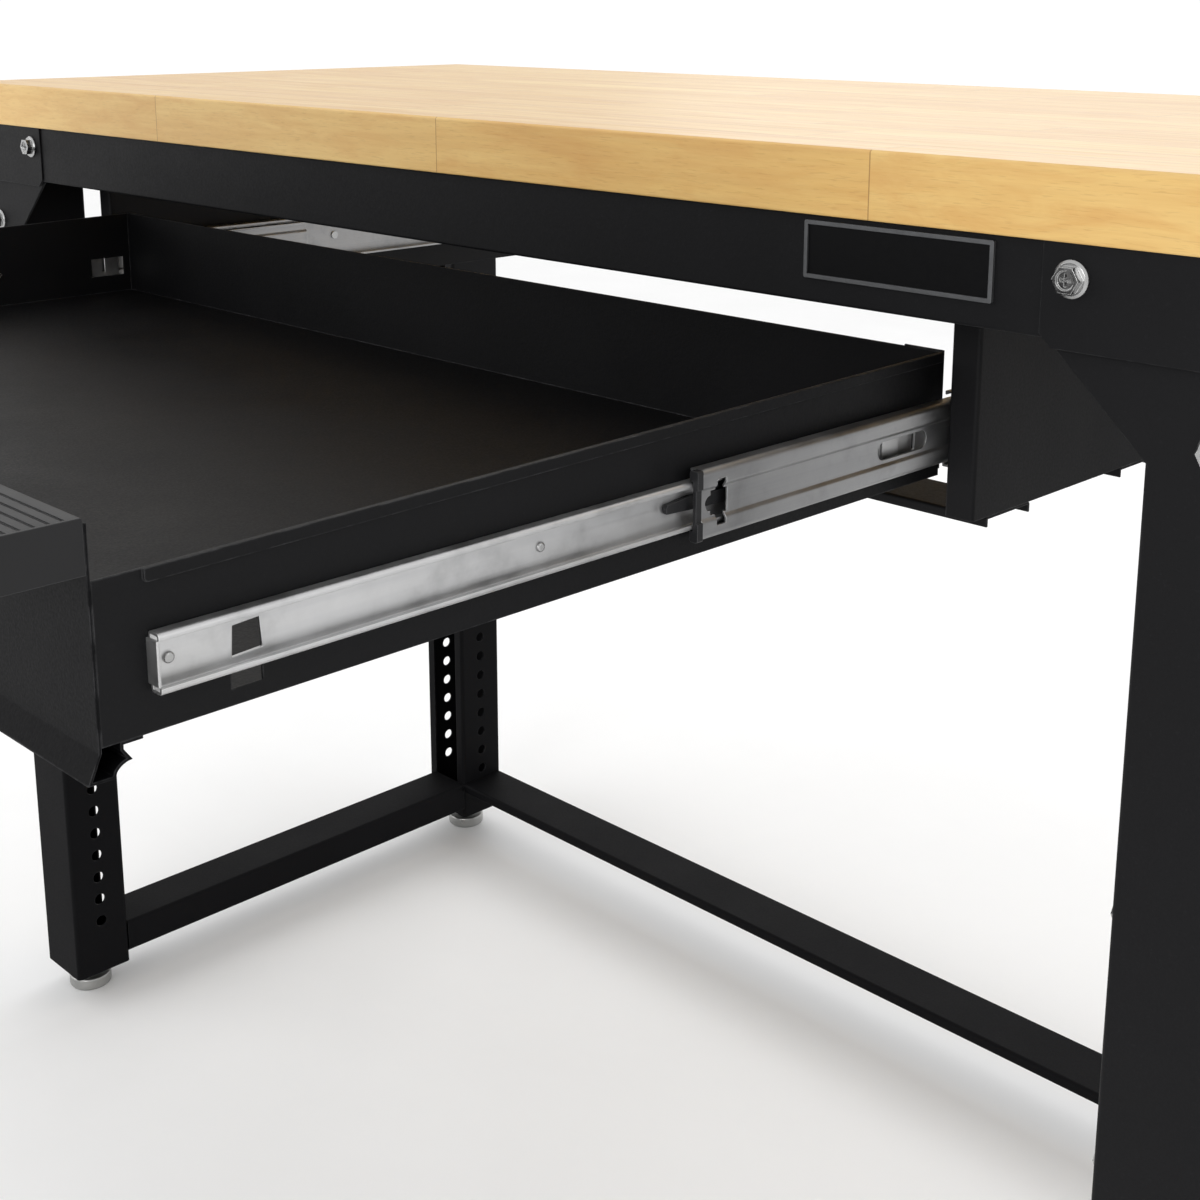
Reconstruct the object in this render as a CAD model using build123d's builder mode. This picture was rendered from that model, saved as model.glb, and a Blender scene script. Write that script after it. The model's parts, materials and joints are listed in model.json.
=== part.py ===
from build123d import *
import os

os.makedirs("parts", exist_ok=True)

# Height-adjustable steel desk with a butcher-block top and a wide shallow
# keyboard drawer on ball-bearing slides, shown with the drawer fully open.
# Frame: +Z up, front of the desk towards -Y, origin on the floor at the centre
# of the footprint that the desk and its open drawer cover. Millimetres.

# ---------------------------------------------------------------- dimensions
TOP_W, TOP_D, TOP_T = 1321.0, 617.0, 38.0      # butcher-block top
TOP_Y0, TOP_Z0 = -54.0, 933.0                  # front edge, underside

POST_X = 622.4                                 # leg and post centre lines, +/-
POST_W, POST_D, POST_T = 74.0, 70.0, 2.0       # upper sleeve section
POST_YF, POST_YR = -13.5, 522.5                # sleeve centres, front and rear
POST_Z0 = 380.0                                # lower end of the sleeves
POST_LIP = 14.0

LEG_W, LEG_D, LEG_T = 68.0, 61.0, 2.0          # lower leg section
LEG_YF, LEG_YR = -14.0, 523.0
LEG_Z0, LEG_Z1 = 27.0, 640.0
LEG_LIP = 13.0
HOLE_D, HOLE_PITCH, HOLE_Z0, HOLE_N = 12.0, 25.4, 86.5, 21

STR_TOP = 73.0                                 # top of the low stretchers
STR_W, STR_H, STR_T = 58.0, 35.0, 2.0          # side stretcher tube
RSTR_H = 10.0                                  # rear stretcher flange height

FOOT_R, FOOT_H = 22.0, 14.0                    # levelling foot pad
STEM_R, STEM_BORE_R = 5.0, 5.08

APRON_Z0, APRON_H, APRON_T = 883.0, 50.0, 2.0
APRON_YF, APRON_YR = -50.5, 559.5              # outer faces of the aprons
APRON_FLANGE, APRON_HALF = 22.0, 524.0
CORNER_X, CORNER_Z0, CORNER_T = 525.6, 878.6, 1.5
GUSSET_X, GUSSET_Z0, GUSSET_Z1 = 526.0, 830.0, 878.0
BOLT_X1, BOLT_X2, BOLT_Z = 542.6, 640.6, 915.0

DR_X0, DR_X1 = -506.4, 419.4                   # drawer side panels, outer faces
DR_Y0, DR_Y1 = -520.7, 22.4                    # back of front panel, rear face
DR_Z0, DR_Z1F, DR_Z1R, DR_T = 775.5, 841.5, 849.7, 1.2   # side tops, front and rear
SLIDE_Z, SLIDE_L = 804.5, 508.0
SLIDE_U = 12.7                                 # slide thickness, side to hanger
DM_Y0 = -498.5                                 # drawer member front end
CM_Y0 = 22.0                                   # cabinet member front end
IM_Y0, IM_L = -197.0, 430.0                    # intermediate member

HG_Y0, HG_Y1, HG_Z0, HG_W, HG_T = 11.5, 534.0, 755.6, 19.5, 1.5
RAIL_Z0, RAIL_D = 749.3, 46.2

LEDGE_Y0, LEDGE_Y1 = -558.0, -522.2
LEDGE_Z0, LEDGE_Z1 = 844.2, 866.4


# The footprint runs from the ledge to the rear bolt heads; its middle is Y = 0.
Y_SHIFT = -(LEDGE_Y0 + APRON_YR + CORNER_T + 7.2) / 2


def save(block, label):
    piece = block.part.moved(Location((0, Y_SHIFT, 0)))
    piece.label = label
    export_step(piece, "parts/" + label + ".step")


def rect(x0, x1, y0, y1, mode=Mode.ADD):
    """Axis-aligned rectangle by its corners, in the sketch's own axes."""
    with Locations(((x0 + x1) / 2, (y0 + y1) / 2)):
        Rectangle(abs(x1 - x0), abs(y1 - y0), mode=mode)


def block(x0, x1, y0, y1, z0, z1, mode=Mode.ADD):
    """Plate or block by its corners."""
    with Locations(((x0 + x1) / 2, (y0 + y1) / 2, (z0 + z1) / 2)):
        Box(abs(x1 - x0), abs(y1 - y0), abs(z1 - z0), mode=mode)


def channel_section(xc, yc, w, d, t, lip, open_sign, r):
    """Lipped channel seen from above, open towards open_sign * Y."""
    with Locations((xc, yc)):
        RectangleRounded(w, d, r)
        RectangleRounded(w - 2 * t, d - 2 * t, max(r - t, 0.4), mode=Mode.SUBTRACT)
    with Locations((xc, yc + open_sign * d / 2)):
        Rectangle(w - 2 * lip, 4 * t, mode=Mode.SUBTRACT)


SIDES = {"left": -1, "right": 1}
ENDS = {"front": (LEG_YF, POST_YF, 1), "rear": (LEG_YR, POST_YR, -1)}

# ------------------------------------------------------------- lower base
# Lower legs: lipped channels that open inwards, with a ladder of height holes
# through both side walls and a foot plate across the bottom.
for side, sx in SIDES.items():
    for end, (leg_y, post_y, opens) in ENDS.items():
        with BuildPart() as leg:
            with BuildSketch(Plane.XY.offset(LEG_Z0)):
                channel_section(sx * POST_X, leg_y, LEG_W, LEG_D, LEG_T, LEG_LIP, opens, 4.0)
            extrude(amount=LEG_Z1 - LEG_Z0)
            with BuildSketch(Plane.XY.offset(LEG_Z0)):
                with Locations((sx * POST_X, leg_y)):
                    Rectangle(LEG_W - 2, LEG_D - 2)
                    Circle(STEM_BORE_R, mode=Mode.SUBTRACT)
            extrude(amount=3)
            with BuildSketch(Plane.YZ.offset(sx * POST_X - LEG_W)):
                with Locations([(leg_y, HOLE_Z0 + i * HOLE_PITCH) for i in range(HOLE_N)]):
                    Circle(HOLE_D / 2)
            extrude(amount=2 * LEG_W, mode=Mode.SUBTRACT)
        save(leg, "lower_leg_" + end + "_" + side)

# Side stretchers: rectangular tubes between the legs of one side.
for side, sx in SIDES.items():
    x_in = sx * (POST_X - LEG_W / 2)
    with BuildPart() as stretcher:
        with BuildSketch(Plane.XZ.offset(-(LEG_YF + LEG_D / 2))):
            with Locations((x_in + sx * STR_W / 2, STR_TOP - STR_H / 2)):
                RectangleRounded(STR_W, STR_H, 3.5)
                RectangleRounded(STR_W - 2 * STR_T, STR_H - 2 * STR_T, 1.5, mode=Mode.SUBTRACT)
        extrude(amount=-((LEG_YR - LEG_D / 2) - (LEG_YF + LEG_D / 2)))
    save(stretcher, "side_stretcher_" + side)

# Rear stretcher: wide shallow channel, web on top, flanges down.
X_IN = POST_X - LEG_W / 2
with BuildPart() as rear_stretcher:
    with BuildSketch(Plane.YZ.offset(-X_IN)) as profile:
        rect(LEG_YR - LEG_D / 2, LEG_YR + LEG_D / 2, STR_TOP - RSTR_H, STR_TOP)
        fillet(profile.vertices().group_by(Axis.Y)[-1], 3.0)
        rect(LEG_YR - LEG_D / 2 + 2, LEG_YR + LEG_D / 2 - 2, STR_TOP - RSTR_H - 1, STR_TOP - 2, mode=Mode.SUBTRACT)
    extrude(amount=2 * X_IN)
save(rear_stretcher, "rear_stretcher")

# Levelling feet: round pad, lock collar and threaded stem, one per leg.
for side, sx in SIDES.items():
    for end, (leg_y, post_y, opens) in ENDS.items():
        with BuildPart() as foot:
            with BuildSketch(Plane.XY):
                with Locations((sx * POST_X, leg_y)):
                    Circle(FOOT_R)
            extrude(amount=FOOT_H)
            fillet(foot.edges().filter_by(GeomType.CIRCLE).group_by(Axis.Z)[-1], 2.0)
            fillet(foot.edges().filter_by(GeomType.CIRCLE).group_by(Axis.Z)[0], 4.0)
            with BuildSketch(Plane.XY.offset(FOOT_H)):
                with Locations((sx * POST_X, leg_y)):
                    Circle(9.0)
            extrude(amount=2.4)
            with BuildSketch(Plane.XY.offset(LEG_Z0 - 8.4)):
                with Locations((sx * POST_X, leg_y)):
                    RegularPolygon(9.4, 6)
            extrude(amount=8.0)
            with BuildSketch(Plane.XY.offset(FOOT_H)):
                with Locations((sx * POST_X, leg_y)):
                    Circle(STEM_R)
            extrude(amount=46)
        save(foot, "levelling_foot_" + end + "_" + side)

# Weld nuts that the feet screw into, on top of each foot plate.
with BuildPart() as foot_nuts:
    with BuildSketch(Plane.XY.offset(LEG_Z0 + 3)):
        with Locations([(sx * POST_X, y) for sx in (-1, 1) for y in (LEG_YF, LEG_YR)]):
            RegularPolygon(9.8, 6)
            Circle(STEM_BORE_R, mode=Mode.SUBTRACT)
    extrude(amount=8)
save(foot_nuts, "foot_nuts")

# ------------------------------------------------------------- upper frame
# Upper posts: lipped sleeves over the lower legs. The outer face carries a
# gusset wing that the long apron bolts to. Two clamp-bolt holes in the inner
# side wall and one plug-bolt hole in the outer face.
CLAMP_Z = [HOLE_Z0 + 13 * HOLE_PITCH, HOLE_Z0 + 19 * HOLE_PITCH]
for side, sx in SIDES.items():
    for end, (leg_y, post_y, opens) in ENDS.items():
        y_out = post_y - opens * POST_D / 2          # outer face of the sleeve
        y_in = y_out + opens * POST_T
        with BuildPart() as post:
            with BuildSketch(Plane.XY.offset(POST_Z0)):
                channel_section(sx * POST_X, post_y, POST_W, POST_D, POST_T, POST_LIP, opens, 3.5)
            extrude(amount=TOP_Z0 - POST_Z0)
            block(sx * (POST_X - POST_W / 2 + 1), sx * (POST_X + POST_W / 2 - 1),
                  post_y - POST_D / 2 + 1, post_y + POST_D / 2 - 1, TOP_Z0 - 3, TOP_Z0)
            wing_w = POST_X - POST_W / 2 + 6
            with BuildSketch(Plane.XZ.offset(-max(y_out, y_in))):
                with BuildLine():
                    Polyline((sx * GUSSET_X, TOP_Z0), (sx * wing_w, TOP_Z0),
                             (sx * wing_w, GUSSET_Z0 - 6.5), (sx * (POST_X - POST_W / 2), GUSSET_Z0),
                             (sx * (GUSSET_X + 7.4), GUSSET_Z1), (sx * GUSSET_X, GUSSET_Z1 + 6.8), close=True)
                make_face()
            extrude(amount=POST_T)
            with BuildSketch(Plane.YZ.offset(sx * (POST_X - POST_W / 2) - 5)):
                with Locations([(leg_y, z) for z in CLAMP_Z]):
                    Circle(4.3)
            extrude(amount=10, mode=Mode.SUBTRACT)
            with BuildSketch(Plane.XZ.offset(-(y_out + 10))):
                with Locations((sx * BOLT_X1, BOLT_Z), (sx * BOLT_X2, BOLT_Z), (sx * POST_X, 840.0)):
                    Circle(4.3)
            extrude(amount=20, mode=Mode.SUBTRACT)
        save(post, "upper_post_" + end + "_" + side)

# Front and rear aprons: channels whose web passes in front of the posts.
for end, y_face, opens in (("front", APRON_YF, 1), ("rear", APRON_YR, -1)):
    y_back = y_face + opens * APRON_T
    with BuildPart() as apron:
        block(-POST_X - POST_W / 2, POST_X + POST_W / 2, y_face, y_back, APRON_Z0, TOP_Z0)
        fillet(apron.edges().filter_by(Axis.X).group_by(Axis.Z)[0].sort_by(Axis.Y)[0 if opens > 0 else -1], 1.8)
        block(-APRON_HALF, APRON_HALF, y_back, y_back + opens * APRON_FLANGE, APRON_Z0, APRON_Z0 + APRON_T)
        block(-APRON_HALF, APRON_HALF, y_back, y_back + opens * APRON_FLANGE, TOP_Z0 - APRON_T, TOP_Z0)
        with BuildSketch(Plane.XZ.offset(-(y_face + 10))):
            with Locations([(s * x, BOLT_Z) for s in (-1, 1) for x in (BOLT_X1, BOLT_X2)]):
                Circle(4.3)
        extrude(amount=20, mode=Mode.SUBTRACT)
        with BuildSketch(Plane.XY.offset(TOP_Z0 - 5)):
            with Locations([(x, y_back + opens * 11) for x in (-480, -160, 160, 480)]):
                Circle(2.6)
        extrude(amount=8, mode=Mode.SUBTRACT)
    save(apron, end + "_apron")

# Side aprons: channels between the posts of one side.
for side, sx in SIDES.items():
    x_out, x_web = sx * (POST_X + POST_W / 2), sx * (POST_X + POST_W / 2 - APRON_T)
    y0, y1 = POST_YF + POST_D / 2, POST_YR - POST_D / 2
    with BuildPart() as apron:
        block(x_out, x_web, y0, y1, APRON_Z0, TOP_Z0)
        block(x_web, x_web - sx * APRON_FLANGE, y0, y1, APRON_Z0, APRON_Z0 + APRON_T)
        block(x_web, x_web - sx * APRON_FLANGE, y0, y1, TOP_Z0 - APRON_T, TOP_Z0)
        with BuildSketch(Plane.XY.offset(TOP_Z0 - 5)):
            with Locations([(x_web - sx * 11, y) for y in (120, 390)]):
                Circle(2.6)
        extrude(amount=8, mode=Mode.SUBTRACT)
    save(apron, "side_apron_" + side)

# Corner plates: thin outer plates over the apron ends, lower inner corner cut.
for side, sx in SIDES.items():
    for end, y_face, out in (("front", APRON_YF, -1), ("rear", APRON_YR, 1)):
        y_far = y_face + out * CORNER_T
        with BuildPart() as plate:
            with BuildSketch(Plane.XZ.offset(-max(y_face, y_far))):
                with BuildLine():
                    Polyline((sx * CORNER_X, TOP_Z0 - 0.3), (sx * (POST_X + POST_W / 2), TOP_Z0 - 0.3),
                             (sx * (POST_X + POST_W / 2), CORNER_Z0), (sx * (CORNER_X + 7.2), CORNER_Z0),
                             (sx * CORNER_X, CORNER_Z0 + 7.0), close=True)
                make_face()
                with Locations((sx * BOLT_X1, BOLT_Z), (sx * BOLT_X2, BOLT_Z)):
                    Circle(4.3, mode=Mode.SUBTRACT)
            extrude(amount=CORNER_T)
        save(plate, "corner_plate_" + end + "_" + side)


def flange_bolt(shank):
    """Flanged hex bolt, seat at the origin, head towards +Z, cross recess in the head."""
    with BuildPart() as bolt:
        with BuildSketch(Plane.XY):
            Circle(9.8)
        extrude(amount=1.4)
        with BuildSketch(Plane.XY.offset(1.4)):
            Circle(9.8)
        extrude(amount=1.1, taper=50)
        with BuildSketch(Plane.XY.offset(1.4)):
            RegularPolygon(7.5, 6)
        extrude(amount=5.8)
        with BuildSketch(Plane.XY.offset(7.2)):
            Circle(5.0)
        extrude(amount=-1.0, taper=20, mode=Mode.SUBTRACT)
        with BuildSketch(Plane.XY.offset(6.2)):
            Rectangle(6.4, 1.4)
            Rectangle(1.4, 6.4)
        extrude(amount=-2.6, mode=Mode.SUBTRACT)
        with BuildSketch(Plane.XY):
            Circle(4.0)
        extrude(amount=-shank)
    return bolt.part


APRON_BOLT, POST_BOLT = flange_bolt(14), flange_bolt(3)
with BuildPart() as apron_bolts:
    for out, y_seat in ((-1, APRON_YF - CORNER_T), (1, APRON_YR + CORNER_T)):
        for s in (-1, 1):
            for x in (BOLT_X1, BOLT_X2):
                add(APRON_BOLT.moved(Plane(origin=(s * x, y_seat, BOLT_Z), x_dir=(1, 0, 0), z_dir=(0, out, 0)).location))
save(apron_bolts, "apron_bolts")

with BuildPart() as apron_nuts:
    for out, y_seat in ((-1, POST_YF - POST_D / 2 + POST_T), (1, POST_YR + POST_D / 2 - POST_T)):
        for s in (-1, 1):
            for x in (BOLT_X1, BOLT_X2):
                with BuildSketch(Plane(origin=(s * x, y_seat, BOLT_Z), x_dir=(1, 0, 0), z_dir=(0, -out, 0))):
                    RegularPolygon(7.5, 6)
                    Circle(4.1, mode=Mode.SUBTRACT)
                extrude(amount=6.5)
save(apron_nuts, "apron_nuts")

with BuildPart() as post_bolts:
    for out, y_seat in ((-1, POST_YF - POST_D / 2), (1, POST_YR + POST_D / 2)):
        for s in (-1, 1):
            add(POST_BOLT.moved(Plane(origin=(s * POST_X, y_seat, 840.0), x_dir=(1, 0, 0), z_dir=(0, out, 0)).location))
save(post_bolts, "post_bolts")

# Height clamp bolts and their weld nuts, on the inner side wall of each sleeve.
with BuildPart() as height_nuts:
    for s in (-1, 1):
        wall = s * (POST_X - POST_W / 2)
        for y in (LEG_YF, LEG_YR):
            for z in CLAMP_Z:
                with BuildSketch(Plane(origin=(wall, y, z), x_dir=(0, 1, 0), z_dir=(-s, 0, 0))):
                    RegularPolygon(7.5, 6)
                    Circle(4.1, mode=Mode.SUBTRACT)
                extrude(amount=6.5)
save(height_nuts, "height_nuts")

with BuildPart() as height_bolts:
    for s in (-1, 1):
        seat_x = s * (POST_X - POST_W / 2 - 6.5)
        for y in (LEG_YF, LEG_YR):
            for z in CLAMP_Z:
                seat = Plane(origin=(seat_x, y, z), x_dir=(0, 1, 0), z_dir=(-s, 0, 0))
                with BuildSketch(seat):
                    Circle(9.4)
                extrude(amount=1.8)
                with BuildSketch(seat.offset(1.8)):
                    RegularPolygon(7.5, 6)
                extrude(amount=5.4)
                with BuildSketch(seat):
                    Circle(4.0)
                extrude(amount=-8.9)
save(height_bolts, "height_bolts")

# Name plate on the front apron: a plain framed plate with nothing written on it.
with BuildPart() as badge:
    with BuildSketch(Plane.XZ.offset(-APRON_YF)):
        with Locations((435.7, 913.3)):
            RectangleRounded(123.2, 32.6, 1.2)
    extrude(amount=2.0)
    with BuildSketch(Plane.XZ.offset(-APRON_YF + 2.0)):
        with Locations((435.7, 913.3)):
            RectangleRounded(118.4, 27.8, 0.8)
    extrude(amount=-1.0, mode=Mode.SUBTRACT)
save(badge, "name_plate")

# Butcher-block top, with pilot holes for the screws from below.
HG_XR, HG_XL = DR_X1 + SLIDE_U, DR_X0 - SLIDE_U     # hanger inner plates
SCREW_XY = ([(x, y) for y in (APRON_YF + APRON_T + 11, APRON_YR - APRON_T - 11) for x in (-480, -160, 160, 480)]
            + [(s * (POST_X + POST_W / 2 - APRON_T - 11), y) for s in (-1, 1) for y in (120, 390)])
HANGER_SCREWS = [(x, y) for x in (HG_XR + HG_W + 9, HG_XL - HG_W - 9) for y in (60, 270, 480)]
with BuildPart() as tabletop:
    with BuildSketch(Plane.XY.offset(TOP_Z0)):
        rect(-TOP_W / 2, TOP_W / 2, TOP_Y0, TOP_Y0 + TOP_D)
    extrude(amount=TOP_T)
    fillet(tabletop.edges().filter_by(Axis.Z), 3.0)
    chamfer(tabletop.faces().sort_by(Axis.Z)[-1].edges(), 1.2)
    with BuildSketch(Plane.XY.offset(TOP_Z0)):
        with Locations(SCREW_XY + HANGER_SCREWS):
            Circle(2.35)
    extrude(amount=22, mode=Mode.SUBTRACT)
save(tabletop, "tabletop")

# Pan-head wood screws through the apron and hanger flanges into the top.
with BuildPart() as top_screws:
    for pts, z_seat in ((SCREW_XY, TOP_Z0 - APRON_T), (HANGER_SCREWS, TOP_Z0 - HG_T)):
        with BuildSketch(Plane.XY.offset(z_seat)):
            with Locations(pts):
                Circle(4.4)
        extrude(amount=-2.6)
        with BuildSketch(Plane.XY.offset(z_seat)):
            with Locations(pts):
                Circle(2.25)
        extrude(amount=20)
save(top_screws, "top_screws")

# ------------------------------------------------------------- hangers
# Drawer hangers: a folded U in plan (inner plate, front flange, outer plate)
# with a flange along the top of the outer plate.
for side, s, x_in in (("right", 1, HG_XR), ("left", -1, HG_XL)):
    x_out = x_in + s * HG_W
    with BuildPart() as hanger:
        with BuildSketch(Plane.XY.offset(HG_Z0)) as plan:
            rect(x_in, x_out, HG_Y0, HG_Y1)
            fillet(plan.vertices().group_by(Axis.Y)[0], 2.4)
            rect(x_in + s * HG_T, x_out - s * HG_T, HG_Y0 + HG_T, HG_Y1 + 5, mode=Mode.SUBTRACT)
        extrude(amount=TOP_Z0 - HG_Z0)
        block(x_out - s * HG_T, x_out + s * 18, HG_Y0 + 3, HG_Y1, TOP_Z0 - HG_T, TOP_Z0)
        with BuildSketch(Plane.XY.offset(TOP_Z0 - 5)):
            with Locations([p for p in HANGER_SCREWS if p[0] * s > 0]):
                Circle(2.6)
        extrude(amount=8, mode=Mode.SUBTRACT)
        with BuildSketch(Plane.YZ.offset(x_in - 3)):
            with Locations([(y, SLIDE_Z) for y in (50, 270, 490)]):
                Circle(2.1)
        extrude(amount=6, mode=Mode.SUBTRACT)
    save(hanger, "drawer_hanger_" + side)

# Cross rails: shallow channels under the hangers that tie them together.
for end, y0 in (("front", 26.5), ("rear", 180.0)):
    with BuildPart() as rail:
        with BuildSketch(Plane.YZ.offset(HG_XL - HG_W)) as profile:
            rect(y0, y0 + RAIL_D, RAIL_Z0, HG_Z0)
            fillet(profile.vertices().group_by(Axis.Y)[-1], 1.8)
            rect(y0 + 1.5, y0 + RAIL_D - 1.5, RAIL_Z0 - 1, HG_Z0 - 1.6, mode=Mode.SUBTRACT)
        extrude(amount=(HG_XR + HG_W) - (HG_XL - HG_W))
    save(rail, "cross_rail_" + end)

# ------------------------------------------------------------- slides
# Section axes: u runs from the drawer side (0) to the hanger (12.7), v is up
# from the slide's centre line.
def slide_plane(y):
    return Plane.XZ.offset(-y)


def uv(base, s, u0, u1, v0, v1, mode=Mode.ADD):
    rect(base + s * u0, base + s * u1, SLIDE_Z + v0, SLIDE_Z + v1, mode=mode)


SLIDES = (("right", 1, DR_X1), ("left", -1, DR_X0))
DM_SCREW_Y = (-491.5, -297.9, -110.0)
CM_SCREW_Y = (50.0, 270.0, 490.0)
LEVER_Y = -165.0

for side, s, base in SLIDES:
    # cabinet member, fixed to the hanger
    with BuildPart() as cabinet:
        with BuildSketch(slide_plane(CM_Y0)) as sec:
            uv(base, s, 11.5, 12.7, -22.85, 22.85)
            for k in (-1, 1):
                uv(base, s, 3.0, 12.7, k * 21.65, k * 22.85)
                uv(base, s, 3.0, 4.2, k * 20.45, k * 22.85)
            fillet(sec.vertices(), 0.5)
        extrude(amount=-SLIDE_L)
        with BuildSketch(Plane.YZ.offset(base + s * 12.1 - 3)):
            with Locations([(y, SLIDE_Z) for y in CM_SCREW_Y]):
                Circle(2.1)
        extrude(amount=6, mode=Mode.SUBTRACT)
    save(cabinet, "slide_cabinet_member_" + side)

    # intermediate member: raised ball tracks, recessed web, stepped cut-out and slot
    with BuildPart() as middle:
        with BuildSketch(slide_plane(IM_Y0)):
            with BuildLine():
                FilletPolyline(*[(base + s * u, SLIDE_Z + v) for u, v in (
                    (2.4, 17.6), (10.4, 17.6), (10.4, 9.2), (8.8, 7.4), (8.8, -7.4), (10.4, -9.2), (10.4, -17.6), (2.4, -17.6))],
                    radius=[2.6, 1.2, 1.0, 1.0, 1.2, 2.6])
            trace(line_width=1.2)
        extrude(amount=-IM_L)
        with BuildSketch(Plane.YZ.offset(base + s * 9.7 - 4)):
            rect(-189.8, -177.2, SLIDE_Z - 6.4, SLIDE_Z + 6.4)
            rect(-186.4, -179.4, SLIDE_Z - 12.0, SLIDE_Z + 12.0)
            with Locations((-189.8, SLIDE_Z)):
                Circle(4.0)
            with Locations((-27.8, SLIDE_Z)):
                SlotOverall(46.0, 10.6)
        extrude(amount=8, mode=Mode.SUBTRACT)
    save(middle, "slide_intermediate_" + side)

    # bumper clipped on the front end of the intermediate member
    with BuildPart() as bumper:
        with BuildSketch(slide_plane(IM_Y0 - 4.0)) as sec:
            uv(base, s, 7.9, 10.0, -13.2, 13.2)
            for k in (-1, 1):
                uv(base, s, 7.9, 11.2, k * 8.6, k * 18.4)
                uv(base, s, 5.6, 11.2, k * 13.0, k * 18.4)
            fillet(sec.vertices().filter_by_position(Axis.Y, SLIDE_Z + 18, SLIDE_Z + 19), 1.2)
            fillet(sec.vertices().filter_by_position(Axis.Y, SLIDE_Z - 19, SLIDE_Z - 18), 1.2)
        extrude(amount=-4.0)
    save(bumper, "slide_bumper_" + side)

    # drawer member: channel with curled lips, front stop tab, bayonet window,
    # and the stud that the release lever turns on
    with BuildPart() as inner:
        with BuildSketch(slide_plane(DM_Y0)):
            with BuildLine():
                FilletPolyline(*[(base + s * u, SLIDE_Z + v) for u, v in (
                    (6.9, 9.6), (6.9, 11.9), (0.6, 11.9), (0.6, -11.9), (6.9, -11.9), (6.9, -9.6))],
                    radius=[1.3, 0.9, 0.9, 1.3])
            trace(line_width=1.2)
        extrude(amount=-SLIDE_L)
        block(base + s * 0.6, base + s * 3.0, -38.0, -23.0, SLIDE_Z - 8.6, SLIDE_Z + 8.6)
        block(base, base + s * 7.6, DM_Y0 - 1.2, DM_Y0, SLIDE_Z - 8.7, SLIDE_Z + 9.8)
        block(base, base + s * 1.2, DM_Y0 - 0.6, DM_Y0 + 0.6, SLIDE_Z - 8.7, SLIDE_Z + 9.8)
        with BuildSketch(Plane.YZ.offset(base + s * 0.6 - 3)):
            with BuildLine():
                Polyline((-462.6, SLIDE_Z + 5.0), (-450.0, SLIDE_Z + 5.8), (-449.0, SLIDE_Z - 7.2),
                         (-463.4, SLIDE_Z - 8.0), close=True)
            make_face()
            with Locations([(y, SLIDE_Z) for y in DM_SCREW_Y]):
                Circle(2.1)
            rect(-7.6, -4.6, SLIDE_Z - 8.0, SLIDE_Z + 8.0)
        extrude(amount=6, mode=Mode.SUBTRACT)
        with BuildSketch(Plane(origin=(base + s * 0.6, LEVER_Y, SLIDE_Z), x_dir=(0, 1, 0), z_dir=(s, 0, 0))):
            Circle(1.5)
        extrude(amount=4.4)
    save(inner, "slide_drawer_member_" + side)

    # release lever, a slim sprung arm on the stud
    with BuildPart() as lever:
        with BuildSketch(Plane(origin=(base + s * 1.6, LEVER_Y, SLIDE_Z), x_dir=(0, 1, 0), z_dir=(s, 0, 0))):
            w = s
            with BuildLine():
                Polyline((0, w * 3.4), (-22, w * 3.6), (-34, w * 4.6), (-50.5, w * 3.0), (-51.5, w * 1.2),
                         (-51.0, w * -1.6), (-36, w * -2.4), (-22, w * -3.0), (0, w * -3.4), close=True)
            make_face()
            Circle(3.6)
            with Locations((9, 0)):
                Rectangle(16, 2.0)
            Circle(1.58, mode=Mode.SUBTRACT)
        extrude(amount=2.8)
    save(lever, "release_lever_" + side)

    # ball cages: strips of balls above and below, two per slide
    with BuildPart() as cage:
        for k in (-1, 1):
            block(base + s * 4.7, base + s * 8.6, 30, 180, SLIDE_Z + k * 19.5, SLIDE_Z + k * 20.35)
            with Locations([(base + s * 6.6, 38 + 134 / 9 * i, SLIDE_Z + k * 19.925) for i in range(10)]):
                Sphere(1.6)
    save(cage, "ball_cage_outer_" + side)
    with BuildPart() as cage:
        for k in (-1, 1):
            block(base + s * 2.6, base + s * 7.0, -180, -30, SLIDE_Z + k * 14.3, SLIDE_Z + k * 15.2)
            with Locations([(base + s * 4.8, -172 + 134 / 9 * i, SLIDE_Z + k * 14.75) for i in range(10)]):
                Sphere(2.1)
    save(cage, "ball_cage_inner_" + side)

# Screws that hold the slides: thin heads in the hanger, pan heads on the drawer.
with BuildPart() as hanger_screws:
    for side, s, base in SLIDES:
        for y in CM_SCREW_Y:
            seat = Plane(origin=(base + s * 11.5, y, SLIDE_Z), x_dir=(0, 1, 0), z_dir=(-s, 0, 0))
            with BuildSketch(seat):
                Circle(4.0)
            extrude(amount=1.2)
            with BuildSketch(seat):
                Circle(2.0)
            extrude(amount=-4.2)
save(hanger_screws, "slide_screws_hanger")

with BuildPart() as pan_screw:
    with BuildSketch(Plane.XY):
        Circle(2.4)
    extrude(amount=1.5)
    fillet(pan_screw.faces().sort_by(Axis.Z)[-1].edges(), 0.9)
    with BuildSketch(Plane.XY):
        Circle(2.0)
    extrude(amount=-3.4)
with BuildPart() as drawer_screws:
    for side, s, base in SLIDES:
        for y in DM_SCREW_Y:
            add(pan_screw.part.moved(Plane(origin=(base + s * 1.2, y, SLIDE_Z), x_dir=(0, 1, 0), z_dir=(s, 0, 0)).location))
save(drawer_screws, "slide_screws_drawer")

# ------------------------------------------------------------- drawer
# Tray: folded floor, two sides with outward top hems, rear wall with the side
# flanges lapped over its corners, and the windows that the slides hook into.
def side_top(y):
    """Height of the side panels' top edge, which rises a little towards the back."""
    return DR_Z1F + (DR_Z1R - DR_Z1F) * (y - DR_Y0) / (DR_Y1 - DR_Y0)


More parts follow.
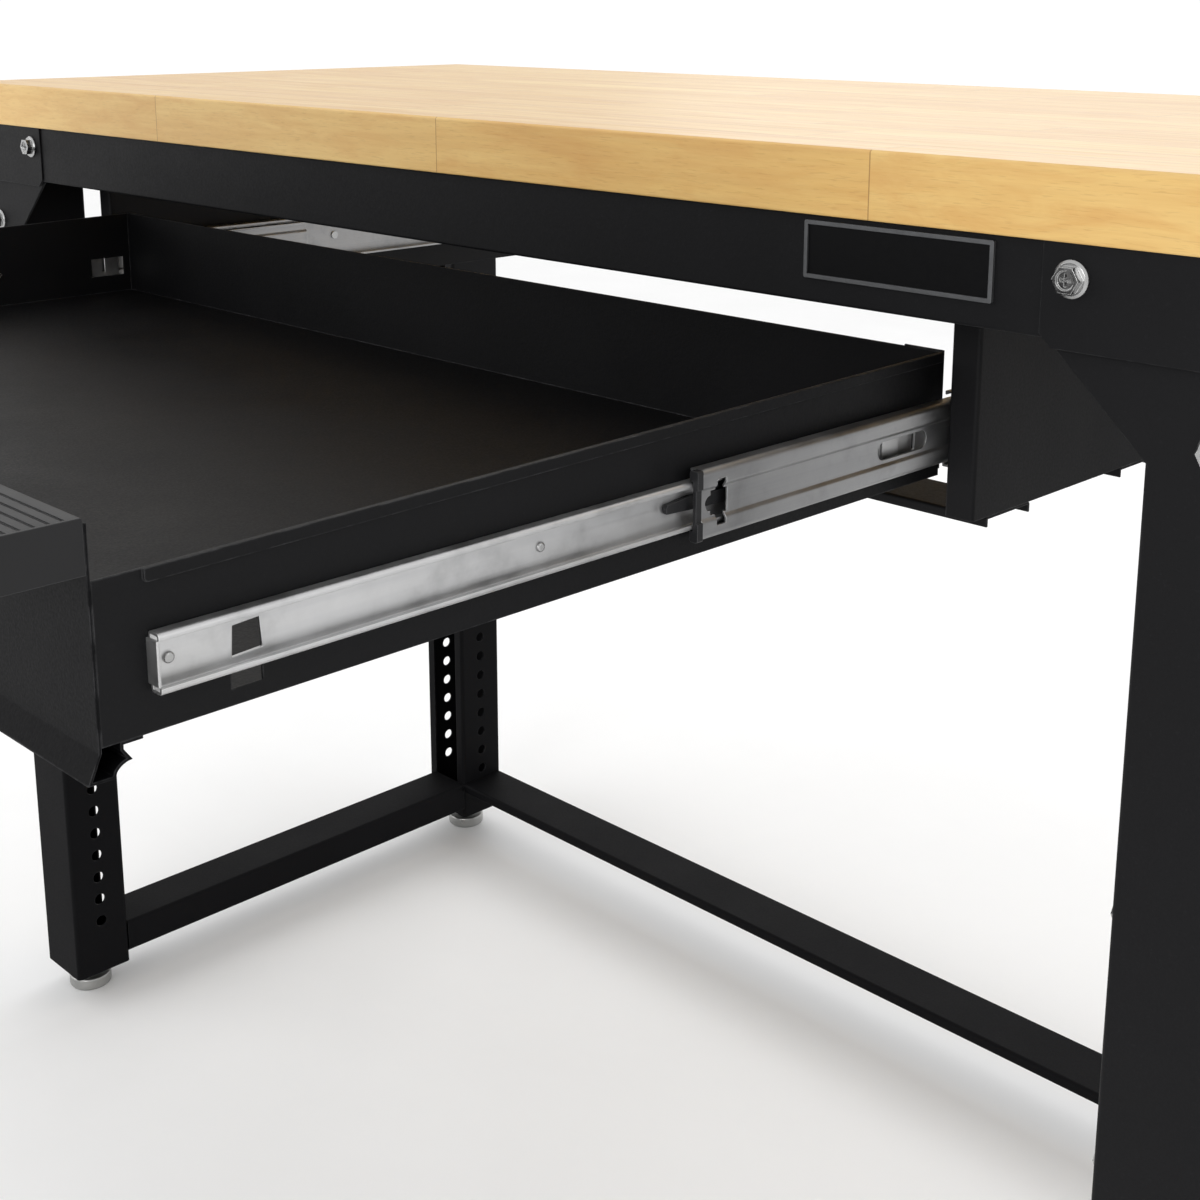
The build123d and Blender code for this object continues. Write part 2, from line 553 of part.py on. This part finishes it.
with BuildPart() as tray:
    block(DR_X0, DR_X1, DR_Y0, DR_Y1, DR_Z0, DR_Z1R)
    block(DR_X0 + DR_T, DR_X1 - DR_T, DR_Y0 - 1, DR_Y1 - DR_T, DR_Z0 + DR_T, DR_Z1R + 1, mode=Mode.SUBTRACT)
    with BuildSketch(Plane.YZ.offset(DR_X0 - 5)):
        with BuildLine():
            Polyline((DR_Y0 - 5, side_top(DR_Y0 - 5)), (DR_Y1, DR_Z1R), (DR_Y1, DR_Z1R + 10),
                     (DR_Y0 - 5, DR_Z1R + 10), close=True)
        make_face()
    extrude(amount=DR_X1 - DR_X0 + 10, mode=Mode.SUBTRACT)
    for s, x in ((1, DR_X1), (-1, DR_X0)):
        y0, y1 = DM_Y0 - 1, DR_Y1 - 2
        with BuildSketch(Plane.YZ.offset(x if s > 0 else x - 1.4)) as hem:
            with BuildLine():
                Polyline((y0, side_top(y0)), (y1, side_top(y1)), (y1, side_top(y1) - 5.6), (y0, side_top(y0) - 5.6), close=True)
            make_face()
            fillet(hem.vertices().sort_by(Axis.X)[:2].sort_by(Axis.Y)[0], 2.0)
        extrude(amount=1.4)
        block(x, x - s * 27.4, DR_Y1, DR_Y1 + DR_T, DR_Z0 + 4, DR_Z1R + 0.8)
        block(x - s * 3, x + s * 3, -19.0, 14.4, 792.5, 809.5, mode=Mode.SUBTRACT)
        block(x - s * 3, x + s * 3, -463.4, -448.6, 782.5, 812.0, mode=Mode.SUBTRACT)
        with BuildSketch(Plane.YZ.offset(x - 4)):
            with Locations([(y, SLIDE_Z) for y in DM_SCREW_Y]):
                Circle(2.1)
        extrude(amount=8, mode=Mode.SUBTRACT)
save(tray, "drawer_tray")

# Drawer front: sheet panel that flares into a finger pull along its bottom
# edge, returns under the floor and ends in a short flange against it.
with BuildPart() as front:
    with BuildSketch(Plane.YZ.offset(DR_X0)):
        with BuildLine():
            Polyline((-521.45, 864.0), (-521.45, 773.6), (-526.4, 762.4), (-516.4, 762.2))
            Polyline((-516.4, 762.2), (-515.6, 764.4))
            ThreePointArc((-515.6, 764.4), (-513.2, 766.6), (-509.4, 767.9))
            Polyline((-509.4, 767.9), (-512.4, 772.2), (-512.4, 774.9), (-503.4, 774.9))
        trace(line_width=1.2)
    extrude(amount=DR_X1 - DR_X0)
save(front, "drawer_front")

# Handle ledge along the top of the front: ribbed cap open from below.
with BuildPart() as ledge:
    with BuildSketch(Plane.YZ.offset(DR_X0 + 1.4)) as sec:
        rect(LEDGE_Y0, LEDGE_Y1, LEDGE_Z0, LEDGE_Z1)
        fillet(sec.vertices().group_by(Axis.X)[0], 2.0)
        fillet(sec.vertices().group_by(Axis.X)[-1].sort_by(Axis.Y)[-1], 1.0)
        rect(LEDGE_Y0 + 2.4, LEDGE_Y1 - 1.8, LEDGE_Z0 + 1.8, LEDGE_Z1 - 2.6, mode=Mode.SUBTRACT)
        rect(LEDGE_Y0 + 8.5, LEDGE_Y1 + 1, LEDGE_Z0 - 1, LEDGE_Z0 + 6, mode=Mode.SUBTRACT)
        for y in (-529.0, -534.6, -540.2, -545.8, -551.4):
            rect(y - 0.9, y + 0.9, LEDGE_Z1 - 0.7, LEDGE_Z1 + 1, mode=Mode.SUBTRACT)
    extrude(amount=(DR_X1 - 1.4) - (DR_X0 + 1.4))
save(ledge, "drawer_ledge")

for side, x in (("right", DR_X1 - 1.4), ("left", DR_X0)):
    with BuildPart() as cap:
        with BuildSketch(Plane.YZ.offset(x)) as sec:
            rect(LEDGE_Y0, LEDGE_Y1, LEDGE_Z0, LEDGE_Z1)
            fillet(sec.vertices().group_by(Axis.X)[0], 2.0)
            fillet(sec.vertices().group_by(Axis.X)[-1].sort_by(Axis.Y)[-1], 1.0)
        extrude(amount=1.4)
    save(cap, "ledge_cap_" + side)
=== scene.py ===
import json
import math

import bmesh
import bpy
from mathutils import Matrix, Vector


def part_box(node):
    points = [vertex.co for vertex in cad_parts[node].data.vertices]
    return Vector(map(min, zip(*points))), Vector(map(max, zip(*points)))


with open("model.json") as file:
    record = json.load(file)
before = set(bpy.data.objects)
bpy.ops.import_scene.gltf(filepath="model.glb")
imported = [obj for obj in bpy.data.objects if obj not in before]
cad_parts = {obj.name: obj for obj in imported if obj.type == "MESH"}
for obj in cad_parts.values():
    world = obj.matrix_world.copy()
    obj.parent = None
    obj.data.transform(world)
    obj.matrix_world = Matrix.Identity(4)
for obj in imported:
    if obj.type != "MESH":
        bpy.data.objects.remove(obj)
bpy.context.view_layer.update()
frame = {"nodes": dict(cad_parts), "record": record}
NODES = frame["nodes"]
MM = 0.001


# ------------------------------------------------------------------ materials
class Mat:
    """Small helper around a node tree."""

    def __init__(self, name):
        self.m = bpy.data.materials.new(name)
        self.m.use_nodes = True
        self.t = self.m.node_tree
        self.bsdf = self.t.nodes["Principled BSDF"]
        self.coord = self.t.nodes.new("ShaderNodeTexCoord").outputs["Object"]

    def node(self, kind, props=None, **inputs):
        n = self.t.nodes.new(kind)
        for k, v in (props or {}).items():
            setattr(n, k, v)
        for k, v in inputs.items():
            self.put(n, k.replace("_", " "), v)
        return n

    def put(self, n, key, v):
        sock = n.inputs[int(key[1:])] if key[0] == "i" and key[1:].isdigit() else n.inputs[key]
        if isinstance(v, bpy.types.NodeSocket):
            self.t.links.new(v, sock)
        else:
            sock.default_value = v

    def math(self, op, a, b=0.0, c=0.0, clamp=False):
        n = self.node("ShaderNodeMath", {"operation": op, "use_clamp": clamp}, i0=a, i1=b, i2=c)
        return n.outputs[0]

    def scaled(self, s, offset=(0, 0, 0)):
        n = self.node("ShaderNodeMapping", None, Vector=self.coord)
        n.inputs["Scale"].default_value = s
        n.inputs["Location"].default_value = offset
        return n.outputs[0]

    def noise(self, scale, detail=2.0, rough=0.5, vec=None, distortion=0.0):
        n = self.node("ShaderNodeTexNoise", None, Vector=vec if vec is not None else self.coord,
                      Scale=scale, Detail=detail, Roughness=rough, Distortion=distortion)
        return n.outputs["Fac"]

    def remap(self, v, a, b, c, d):
        n = self.node("ShaderNodeMapRange", {"clamp": True}, i0=v, i1=a, i2=b, i3=c, i4=d)
        return n.outputs[0]

    def ramp(self, v, stops):
        n = self.node("ShaderNodeValToRGB", None, i0=v)
        e = n.color_ramp.elements
        while len(e) < len(stops):
            e.new(0.5)
        for el, (p, c) in zip(e, stops):
            el.position, el.color = p, (*c, 1.0)
        return n.outputs["Color"]

    def mix(self, f, a, b, mode="MIX"):
        n = self.node("ShaderNodeMix", {"data_type": "RGBA", "blend_type": mode}, i0=f, i6=a, i7=b)
        return n.outputs[2]

    def bump(self, h, strength, dist, normal=None):
        n = self.node("ShaderNodeBump", None, Strength=strength, Distance=dist, Height=h)
        if normal is not None:
            self.put(n, "Normal", normal)
        return n.outputs[0]

    def edge(self, radius, samples=4):
        """Rounded-edge normal, and a mask that is 1 on sharp edges."""
        bev = self.node("ShaderNodeBevel", {"samples": samples}, Radius=radius).outputs[0]
        geo = self.t.nodes.new("ShaderNodeNewGeometry").outputs["Normal"]
        dot = self.node("ShaderNodeVectorMath", {"operation": "DOT_PRODUCT"}, i0=bev, i1=geo).outputs["Value"]
        return bev, self.remap(dot, 0.985, 0.72, 0.0, 1.0)

    def out(self, **inputs):
        for k, v in inputs.items():
            self.put(self.bsdf, k.replace("_", " "), v)
        return self.m


def col(v):
    return (v[0], v[1], v[2], 1.0)


def powder(name, base, rough, grain=620.0, strength=0.16, edge_highlight_lift=0.95, spec=0.155):
    m = Mat(name)
    bev, mask = m.edge(0.0011)
    cloud = m.noise(9.0, 3.0, 0.6)
    dust = m.noise(2.3, 4.0, 0.65)
    fine = m.noise(grain, 2.0, 0.55)
    peel = m.noise(grain * 0.28, 1.0, 0.5)
    speck = m.remap(m.noise(grain * 0.8, 1.0, 0.5, m.scaled((1, 1, 1), (3, 7, 1))), 0.66, 0.78, 0.0, 1.0)
    c = m.mix(m.remap(cloud, 0.3, 0.7, 0.0, 1.0), col([b * 0.86 for b in base]), col([b * 1.16 for b in base]))
    c = m.mix(m.math("MULTIPLY", speck, 0.35), c, col([b * 2.6 for b in base]))
    c = m.mix(m.math("MULTIPLY", m.remap(dust, 0.52, 0.72, 0.0, 1.0), 0.22), c, col([b * 2.0 for b in base]))
    # Edge wear and painted highlight: sharp edges are lightened towards grey, broken up by noise, standing in for
    # light caught on the bends, and made a little less rough.
    edge_wear_and_highlight = m.math("MULTIPLY", mask, m.remap(m.noise(70.0, 3.0, 0.7), 0.42, 0.66, 0.15, 1.0))
    c = m.mix(m.math("MULTIPLY", edge_wear_and_highlight, edge_highlight_lift * 0.5), c, (0.135, 0.135, 0.140, 1.0))
    r = m.remap(cloud, 0.25, 0.75, rough - 0.05, rough + 0.06)
    r = m.math("ADD", r, m.math("MULTIPLY", m.remap(fine, 0.3, 0.7, -1.0, 1.0), 0.05), clamp=True)
    r = m.math("SUBTRACT", r, m.math("MULTIPLY", edge_wear_and_highlight, 0.12), clamp=True)
    h = m.math("ADD", fine, m.math("MULTIPLY", peel, 0.9))
    return m.out(Base_Color=c, Roughness=r, Specular_IOR_Level=spec, Normal=m.bump(h, strength, 0.0004, bev))


def zinc(name, base, rough, axis, line=0.10, mottled=0.5, edge=0.0006):
    """Zinc-plated sheet with drawing lines along one axis."""
    m = Mat(name)
    bev, mask = m.edge(edge)
    s = {"x": (6, 900, 900), "y": (900, 6, 900), "z": (900, 900, 6), "n": (160, 160, 160)}[axis]
    wide = {"x": (3, 150, 150), "y": (150, 3, 150), "z": (150, 150, 3), "n": (40, 40, 40)}[axis]
    fine = m.noise(1.0, 2.0, 0.6, m.scaled(s))
    band = m.noise(1.0, 3.0, 0.6, m.scaled(wide, (2, 5, 3)))
    blot = m.noise(34.0, 4.0, 0.6)
    big = m.noise(6.0, 3.0, 0.6)
    c = m.ramp(m.remap(blot, 0.32, 0.70, 0.0, 1.0), [(0.0, [b * 0.80 for b in base]), (0.45, base),
                                                    (1.0, [min(1, b * 1.10) for b in base])])
    c = m.mix(m.math("MULTIPLY", m.remap(band, 0.35, 0.7, 0.0, 1.0), 0.30 * mottled), c,
              (base[0] * 0.62, base[1] * 0.64, base[2] * 0.68, 1.0))
    c = m.mix(m.math("MULTIPLY", m.remap(big, 0.50, 0.66, 0.0, 1.0), 0.16), c,
              (base[0] * 0.78, base[1] * 0.76, base[2] * 0.66, 1.0))
    # painted highlight: sharp edges lightened towards pale grey
    c = m.mix(m.math("MULTIPLY", mask, 0.45), c, (0.86, 0.86, 0.85, 1.0))
    r = m.math("ADD", m.remap(blot, 0.3, 0.7, rough - 0.05, rough + 0.07),
               m.math("MULTIPLY", m.remap(fine, 0.3, 0.7, -1.0, 1.0), 0.05), clamp=True)
    h = m.math("ADD", fine, m.math("MULTIPLY", band, 0.6))
    return m.out(Base_Color=c, Metallic=1.0, Roughness=r, Normal=m.bump(h, line, 0.00025, bev))


def plastic(name, base, rough, grain=900.0, strength=0.08):
    m = Mat(name)
    bev, mask = m.edge(0.0006)
    n1, n2 = m.noise(grain, 2.0, 0.5), m.noise(14.0, 3.0, 0.6)
    c = m.mix(m.remap(n2, 0.3, 0.7, 0.0, 1.0), col([b * 0.85 for b in base]), col([b * 1.2 for b in base]))
    # painted highlight: sharp edges and rib edges lightened towards grey
    c = m.mix(m.math("MULTIPLY", mask, 0.50), c, (0.15, 0.15, 0.155, 1.0))
    return m.out(Base_Color=c, Specular_IOR_Level=0.3, Roughness=m.remap(n2, 0.3, 0.7, rough - 0.05, rough + 0.06),
                 Normal=m.bump(n1, strength, 0.0003, bev))


def butcher_block():
    """Finger-jointed staves that run along X, with end grain on the short sides."""
    m = Mat("butcher_block")
    bev, mask = m.edge(0.0016)
    sep = m.node("ShaderNodeSeparateXYZ", None, Vector=m.coord)
    x, y, z = sep.outputs[0], sep.outputs[1], sep.outputs[2]
    row_f = m.math("DIVIDE", m.math("ADD", y, 0.0591), 0.0441)
    row = m.math("FLOOR", row_f)
    rnd = m.node("ShaderNodeTexWhiteNoise", {"noise_dimensions": "1D"}, W=m.math("ADD", row, 0.37))
    shift = m.math("MULTIPLY", rnd.outputs["Value"], 0.36)
    front = m.math("LESS_THAN", row_f, 1.0)
    shift = m.math("ADD", m.math("MULTIPLY", shift, m.math("SUBTRACT", 1.0, front)), m.math("MULTIPLY", front, 0.2413))
    st_f = m.math("DIVIDE", m.math("ADD", m.math("ADD", x, 3.0), shift), 0.366)
    st = m.math("FLOOR", st_f)
    seed = m.node("ShaderNodeCombineXYZ", None, X=st, Y=row, Z=2.0).outputs[0]
    wn = m.node("ShaderNodeTexWhiteNoise", {"noise_dimensions": "3D"}, Vector=seed)
    tone, tint = wn.outputs["Value"], wn.outputs["Color"]
    ts = m.node("ShaderNodeSeparateColor", None, Color=tint)
    # each stave samples its own piece of the grain
    off = m.node("ShaderNodeVectorMath", {"operation": "SCALE"}, i0=tint, Scale=7.0).outputs[0]
    p = m.node("ShaderNodeVectorMath", {"operation": "ADD"}, i0=m.coord, i1=off).outputs[0]

    def grain(scale, s3, detail, rough, dist=0.0):
        mp = m.node("ShaderNodeMapping", None, Vector=p)
        mp.inputs["Scale"].default_value = s3
        return m.noise(scale, detail, rough, mp.outputs[0], dist)

    figure = grain(1.0, (3.2, 42, 42), 4.0, 0.58, 0.6)
    streak = grain(1.0, (9, 300, 300), 3.0, 0.6, 0.2)
    fibre = grain(1.0, (30, 1500, 1500), 2.0, 0.6)
    pores = m.remap(grain(1.0, (95, 1350, 1350), 1.0, 0.5), 0.615, 0.70, 0.0, 1.0)
    flecks = m.remap(grain(1.0, (52, 620, 620), 2.0, 0.55), 0.64, 0.74, 0.0, 1.0)
    c = m.ramp(m.remap(figure, 0.30, 0.72, 0.0, 1.0),
               [(0.0, (0.86, 0.595, 0.250)), (0.38, (0.81, 0.530, 0.205)), (0.68, (0.74, 0.445, 0.155)),
                (1.0, (0.63, 0.340, 0.105))])
    c = m.mix(m.math("MULTIPLY", m.remap(streak, 0.36, 0.70, 0.0, 1.0), 0.34), c, (0.60, 0.335, 0.118, 1.0))
    c = m.mix(m.remap(tone, 0.0, 1.0, 0.0, 0.42), c, (0.70, 0.40, 0.135, 1.0))
    c = m.mix(m.math("MULTIPLY", ts.outputs[1], 0.24), c, (0.92, 0.68, 0.32, 1.0))
    c = m.mix(m.math("MULTIPLY", pores, 0.20), c, (0.34, 0.155, 0.045, 1.0))
    c = m.mix(m.math("MULTIPLY", flecks, 0.12), c, (0.42, 0.20, 0.06, 1.0))
    c = m.mix(m.math("MULTIPLY", m.remap(fibre, 0.3, 0.7, 0.0, 1.0), 0.10), c, (0.95, 0.74, 0.40, 1.0))
    mottle = m.remap(grain(1.0, (16, 55, 70), 4.0, 0.68, 0.8), 0.44, 0.66, 0.0, 1.0)
    c = m.mix(m.math("MULTIPLY", mottle, m.remap(tone, 0.0, 1.0, 0.30, 0.55)), c, (0.67, 0.350, 0.118, 1.0))
    # glue lines between rows and stave ends
    fr = m.math("FRACT", row_f)
    fx = m.math("FRACT", st_f)
    g1 = m.math("ADD", m.math("LESS_THAN", fr, 0.010), m.math("GREATER_THAN", fr, 0.990), clamp=True)
    g2 = m.math("ADD", m.math("LESS_THAN", fx, 0.0011), m.math("GREATER_THAN", fx, 0.9989), clamp=True)
    up = m.node("ShaderNodeSeparateXYZ", None, Vector=m.t.nodes.new("ShaderNodeNewGeometry").outputs["Normal"])
    not_front = m.math("LESS_THAN", m.math("ABSOLUTE", up.outputs[1]), 0.6)
    glue = m.math("ADD", m.math("MULTIPLY", g1, not_front), g2, clamp=True)
    c = m.mix(m.math("MULTIPLY", glue, 0.62), c, (0.27, 0.125, 0.04, 1.0))
    # end grain on the two short sides
    ends = m.math("GREATER_THAN", m.math("ABSOLUTE", up.outputs[0]), 0.7)
    mp = m.node("ShaderNodeMapping", None, Vector=p)
    mp.inputs["Scale"].default_value = (1, 1, 1)
    rings = m.node("ShaderNodeTexWave", {"wave_type": "RINGS", "rings_direction": "X"}, Vector=mp.outputs[0],
                   Scale=90.0, Distortion=5.0, Detail=3.0).outputs["Fac"]
    dots = m.remap(m.noise(900.0, 2.0, 0.5), 0.56, 0.68, 0.0, 1.0)
    ce = m.mix(rings, (0.60, 0.36, 0.145, 1.0), (0.72, 0.47, 0.205, 1.0))
    ce = m.mix(m.math("MULTIPLY", dots, 0.5), ce, (0.32, 0.155, 0.05, 1.0))
    ce = m.mix(m.math("MULTIPLY", g1, 0.6), ce, (0.27, 0.125, 0.04, 1.0))
    c = m.mix(ends, c, ce)
    c = m.mix(1.0, c, (0.865, 0.865, 0.765, 1.0), "MULTIPLY")
    h = m.math("SUBTRACT", m.math("ADD", m.math("MULTIPLY", streak, 0.5), m.math("MULTIPLY", fibre, 0.5)),
               m.math("ADD", m.math("MULTIPLY", pores, 0.8), m.math("MULTIPLY", glue, 1.2)))
    r = m.remap(streak, 0.3, 0.7, 0.30, 0.42)
    return m.out(Base_Color=c, Roughness=r, Specular_IOR_Level=0.35, Coat_Weight=0.10, Coat_Roughness=0.22,
                 Normal=m.bump(h, 0.14, 0.0003, bev))


def name_plate():
    """Dark plate whose raised rim is bare metal."""
    m = Mat("plate_black")
    bev, mask = m.edge(0.0004)
    lo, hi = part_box("name_plate")
    sep = m.node("ShaderNodeSeparateXYZ", None, Vector=m.coord)
    dx = m.math("SUBTRACT", m.math("ABSOLUTE", m.math("SUBTRACT", sep.outputs[0], (lo.x + hi.x) / 2)), (hi.x - lo.x) / 2)
    dz = m.math("SUBTRACT", m.math("ABSOLUTE", m.math("SUBTRACT", sep.outputs[2], (lo.z + hi.z) / 2)), (hi.z - lo.z) / 2)
    rim = m.remap(m.math("MAXIMUM", dx, dz), -0.00245, -0.00225, 0.0, 1.0)
    rub = m.remap(m.noise(90.0, 3.0, 0.6), 0.30, 0.60, 0.72, 1.0)
    k = m.math("MULTIPLY", rim, rub)
    fine = m.noise(700.0, 2.0, 0.5)
    c = m.mix(k, (0.0030, 0.0030, 0.0034, 1.0), (0.150, 0.153, 0.158, 1.0))
    return m.out(Base_Color=c, Metallic=m.math("MULTIPLY", k, 0.85), Specular_IOR_Level=0.10, Roughness=m.remap(fine, 0.3, 0.7, 0.34, 0.46),
                 Normal=m.bump(fine, 0.06, 0.0003, bev))


MATS = {
    "frame_black": powder("frame_black", (0.0046, 0.0046, 0.0053), 0.57, spec=0.135),
    "drawer_black": powder("drawer_black", (0.0038, 0.0038, 0.0044), 0.52, grain=700.0, strength=0.20, edge_highlight_lift=1.3, spec=0.14),
    # painted shade: a darker, less glossy copy of the drawer paint for the drawer front
    "front_black_painted_shade": powder("front_black_painted_shade", (0.0030, 0.0030, 0.0035), 0.50, grain=700.0, strength=0.20, edge_highlight_lift=1.3, spec=0.05),
    # painted shade: a darker, less glossy copy of the frame paint for the low parts under the top
    "low_black": powder("low_black", (0.0040, 0.0040, 0.0046), 0.60, spec=0.06),
    "ledge_black": plastic("ledge_black", (0.0065, 0.0065, 0.0072), 0.46, 800.0, 0.10),
    "butcher_block": butcher_block(),
    "slide_zinc": zinc("slide_zinc", (0.34, 0.34, 0.343), 0.42, "y"),
    # painted light: a lighter copy of the slide zinc, standing in for the stronger light on the front members
    "slide_zinc_painted_light": zinc("slide_zinc_painted_light", (0.56, 0.56, 0.562), 0.40, "y"),
    "fastener_zinc": zinc("fastener_zinc", (0.40, 0.40, 0.398), 0.22, "n", 0.06),
    "foot_zinc": zinc("foot_zinc", (0.40, 0.40, 0.39), 0.30, "n", 0.08),
    "plastic_black": plastic("plastic_black", (0.010, 0.010, 0.011), 0.42),
    "plate_black": name_plate(),
}
for sub in frame["record"]["subparts"]:
    ob = NODES[sub["node"]]
    ob.data.materials.clear()
    slot = sub["material_slot"]
    # the drawer members get the lighter painted-light copy of the slide zinc
    if sub["node"].startswith("slide_drawer_member"):
        slot = "slide_zinc_painted_light"
    # the drawer front gets the darker painted-shade copy of the drawer paint
    elif sub["node"] == "drawer_front":
        slot = "front_black_painted_shade"
    # lower legs and stretchers get the darker painted-shade copy of the frame paint
    elif "stretcher" in sub["node"] or sub["node"].startswith("lower_leg"):
        slot = "low_black"
    ob.data.materials.append(MATS[slot])

# ------------------------------------------------------------------ camera
AZ = math.radians(45.41)
Y_ORG = 815.6                       # row frame's distance from the eye along Y, in mm
EYE = Vector((0.980, -Y_ORG * MM, 1.051))
SHIFT_Y = -0.17
FOCAL = 1683.0 / 1200.0             # focal length in picture widths for a level view
row = 0.5 + SHIFT_Y
pitch = math.atan((row * 1200 - 6.7) / 1683.0)
cam_data = bpy.data.cameras.new("camera")
cam_data.sensor_fit = "HORIZONTAL"
cam_data.sensor_width = 36.0
cam_data.lens = 36.0 * FOCAL / math.cos(pitch)
cam_data.shift_y = SHIFT_Y
cam_data.clip_start = 0.02
cam_data.clip_end = 50.0
cam = bpy.data.objects.new("camera", cam_data)
bpy.context.scene.collection.objects.link(cam)
fwd = Vector((-math.sin(AZ) * math.cos(pitch), math.cos(AZ) * math.cos(pitch), -math.sin(pitch)))
cam.location = EYE
cam.rotation_euler = fwd.to_track_quat("-Z", "Y").to_euler()
bpy.context.scene.camera = cam

# ------------------------------------------------------------------ stage
world = bpy.data.worlds.new("studio")
bpy.context.scene.world = world
world.use_nodes = True
world.node_tree.nodes["Background"].inputs[0].default_value = (1, 1, 1, 1)
world.node_tree.nodes["Background"].inputs[1].default_value = 1.04

bm = bmesh.new()
bmesh.ops.create_grid(bm, x_segments=1, y_segments=1, size=14.0)
me = bpy.data.meshes.new("floor")
bm.to_mesh(me)
bm.free()
floor = bpy.data.objects.new("floor", me)
floor.location = (0, 0, 0)
bpy.context.scene.collection.objects.link(floor)
fm = Mat("floor")
fn = fm.noise(3.0, 4.0, 0.6)
fm.out(Base_Color=fm.mix(fm.remap(fn, 0.3, 0.7, 0.0, 1.0), (0.90, 0.90, 0.90, 1), (0.93, 0.93, 0.93, 1)),
       Roughness=fm.remap(fn, 0.3, 0.7, 0.55, 0.70))
me.materials.append(fm.m)


def area(name, loc, target, size, power, tint=(1, 1, 1)):
    d = bpy.data.lights.new(name, "AREA")
    d.shape = "RECTANGLE"
    d.size, d.size_y = size
    d.energy = power
    d.color = tint
    o = bpy.data.objects.new(name, d)
    o.location = loc
    o.rotation_euler = (Vector(target) - Vector(loc)).to_track_quat("-Z", "Y").to_euler()
    bpy.context.scene.collection.objects.link(o)
    return o


area("key", (1.2, -3.0, 1.7), (0.1, 0, 0.8), (1.6, 1.2), 26)
area("fill", (-2.8, -2.2, 1.8), (0, 0, 0.7), (2.2, 1.8), 14)
area("back", (-1.2, 3.0, 2.4), (0, 0, 0.8), (2.4, 1.2), 16)
area("side", (3.4, 0.3, 1.8), (0.4, 0.1, 0.8), (0.8, 1.6), 7)

scene = bpy.context.scene
scene.view_settings.view_transform = "Standard"
scene.view_settings.look = "None"
scene.view_settings.exposure = 0.0
